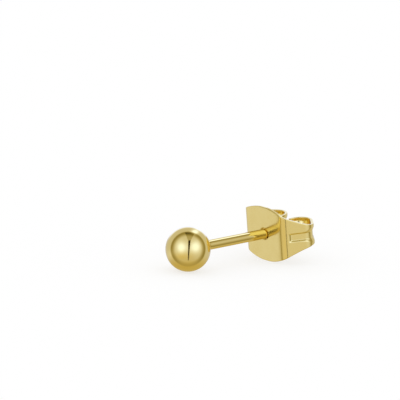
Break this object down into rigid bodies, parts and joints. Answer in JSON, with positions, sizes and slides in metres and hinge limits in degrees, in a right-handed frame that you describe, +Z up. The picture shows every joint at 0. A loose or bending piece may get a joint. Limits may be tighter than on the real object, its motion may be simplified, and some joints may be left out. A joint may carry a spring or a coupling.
{
  "type": "ball stud earring with friction back",
  "caption": "Polished gold ball stud earring whose straight post is held by a bent butterfly friction back, lying at rest.",
  "frame": {"origin": "on the table under the middle of the earring's bounding box, as the earring lies by itself on its ball and the lower edge of its back", "axes": "+Y from the ball towards the back along the post, which rises 3.1 degrees above it; +X across the back; +Z up from the table"},
  "size_m": [0.0074, 0.0146, 0.005],
  "materials": {
    "polished_gold": "mirror-polished yellow gold plating",
    "stamped_gold": "bright tumbled yellow gold plating on stamped sheet"
  },
  "bodies": {
    "stud": {"ball_post": "polished_gold"},
    "back": {"butterfly_back": "stamped_gold"}
  },
  "joints": [
    {"name": "back_slide", "type": "slide", "parent": "stud", "child": "back", "axis": [0, 0.9985, 0.0541], "range_m": [-0.00665, 0.0032]}
  ]
}
